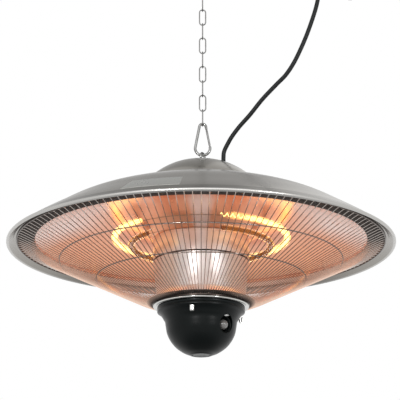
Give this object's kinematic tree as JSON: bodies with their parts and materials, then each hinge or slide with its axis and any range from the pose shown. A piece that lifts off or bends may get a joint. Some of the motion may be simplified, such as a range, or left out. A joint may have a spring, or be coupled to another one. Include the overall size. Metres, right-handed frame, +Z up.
{
  "type": "hanging patio heater",
  "caption": "Round electric patio heater hung from the ceiling: steel shade, polished reflector, ring lamps behind a wire guard, and a black control bowl with a push button.",
  "frame": {"origin": "middle of the ceiling plate's upper face, which lies against the ceiling", "axes": "+Z up; the sensor in the control bowl looks towards -Y and +X, and the mains lead runs towards +X"},
  "size_m": [0.5992, 0.5992, 0.7348],
  "materials": {
    "steel": "fine satin brushing",
    "bright_steel": "bright plated wire",
    "zinc": "zinc plated",
    "reflector": "polished, warm from the lamps",
    "black_steel": "black heat-proof paint",
    "lamp_glass": "clear glass, warm light",
    "filament": "glowing",
    "ceramic": "matt ceramic",
    "black_plastic": "satin black",
    "grey_plastic": "satin dark grey",
    "circuit_board": "green board",
    "cord_rubber": "satin black sheath"
  },
  "bodies": {
    "ceiling": {"ceiling_plate": "zinc", "ceiling_screw_a": "zinc", "ceiling_screw_b": "zinc", "ceiling_eye": "zinc", "cord_hook": "zinc", "cord_coil": "cord_rubber", "cord_tie": "black_plastic", "plug": "black_plastic", "cord_lead": "cord_rubber"},
    "upper_hook": {"upper_hook": "bright_steel"},
    "upper_gate": {"upper_gate": "bright_steel"},
    "chain": {"chain_link_01": "zinc", "chain_link_02": "zinc", "chain_link_03": "zinc", "chain_link_04": "zinc", "chain_link_05": "zinc", "chain_link_06": "zinc", "chain_link_07": "zinc", "chain_link_08": "zinc", "chain_link_09": "zinc", "chain_link_10": "zinc", "chain_link_11": "zinc"},
    "lower_hook": {"lower_hook": "bright_steel"},
    "lower_gate": {"lower_gate": "bright_steel"},
    "heater": {"hanger_eye": "bright_steel", "eye_nut": "zinc", "cap_screw_a": "zinc", "cap_screw_b": "zinc", "top_cap": "steel", "cable_gland": "black_plastic", "relay_box": "zinc", "shade_dome": "steel", "spider_plate": "zinc", "centre_tube": "zinc", "reflector_dish": "reflector", "closing_ring": "black_steel", "column_upper": "reflector", "column_lower": "reflector", "outer_lamp_glass": "lamp_glass", "outer_lamp_filament": "filament", "outer_lamp_holder_a": "ceramic", "outer_lamp_holder_b": "ceramic", "inner_lamp_glass": "lamp_glass", "inner_lamp_filament": "filament", "inner_lamp_holder_a": "ceramic", "inner_lamp_holder_b": "ceramic", "wire_guard": "bright_steel", "support_ring_outer": "bright_steel", "support_ring_inner": "bright_steel", "neck_ring": "black_steel", "neck_collar": "bright_steel", "control_bowl": "black_plastic", "spring_clip_a": "bright_steel", "spring_clip_b": "bright_steel", "spring_clip_c": "bright_steel", "sensor_tube": "black_plastic", "sensor_lens": "lamp_glass", "control_board": "circuit_board", "button_spring": "bright_steel"},
    "push_button": {"push_button": "grey_plastic"}
  },
  "joints": [
    {"name": "upper_hook_sway", "type": "hinge", "parent": "ceiling", "child": "upper_hook", "pos_m": [0, 0, -0.0413], "axis": [0, 1, 0], "range_deg": [-15, 15], "deforming": ["cord_lead"]},
    {"name": "chain_sway", "type": "hinge", "parent": "upper_hook", "child": "chain", "pos_m": [0, 0, -0.0904], "axis": [1, 0, 0], "range_deg": [-15, 15], "deforming": ["cord_lead"]},
    {"name": "lower_hook_sway", "type": "hinge", "parent": "chain", "child": "lower_hook", "pos_m": [0, 0, -0.3642], "axis": [0, 1, 0], "range_deg": [-15, 15], "deforming": ["cord_lead"]},
    {"name": "heater_tilt", "type": "hinge", "parent": "lower_hook", "child": "heater", "pos_m": [0, 0, -0.4143], "axis": [1, 0, 0], "range_deg": [-15, 15], "deforming": ["cord_lead"]},
    {"name": "upper_gate_swing", "type": "hinge", "parent": "upper_hook", "child": "upper_gate", "pos_m": [0.00651, 0, -0.0487], "axis": [0, 1, 0], "range_deg": [0, 25], "stiffness_Nm_per_rad": 0.03},
    {"name": "lower_gate_swing", "type": "hinge", "parent": "lower_hook", "child": "lower_gate", "pos_m": [0.00651, 0, -0.3726], "axis": [0, 1, 0], "range_deg": [0, 25], "stiffness_Nm_per_rad": 0.03},
    {"name": "button_press", "type": "slide", "parent": "heater", "child": "push_button", "axis": [0, 0, 1], "range_m": [0, 0.0025], "stiffness_N_per_m": 400, "springref_m": -0.001, "deforming": ["button_spring"]}
  ]
}
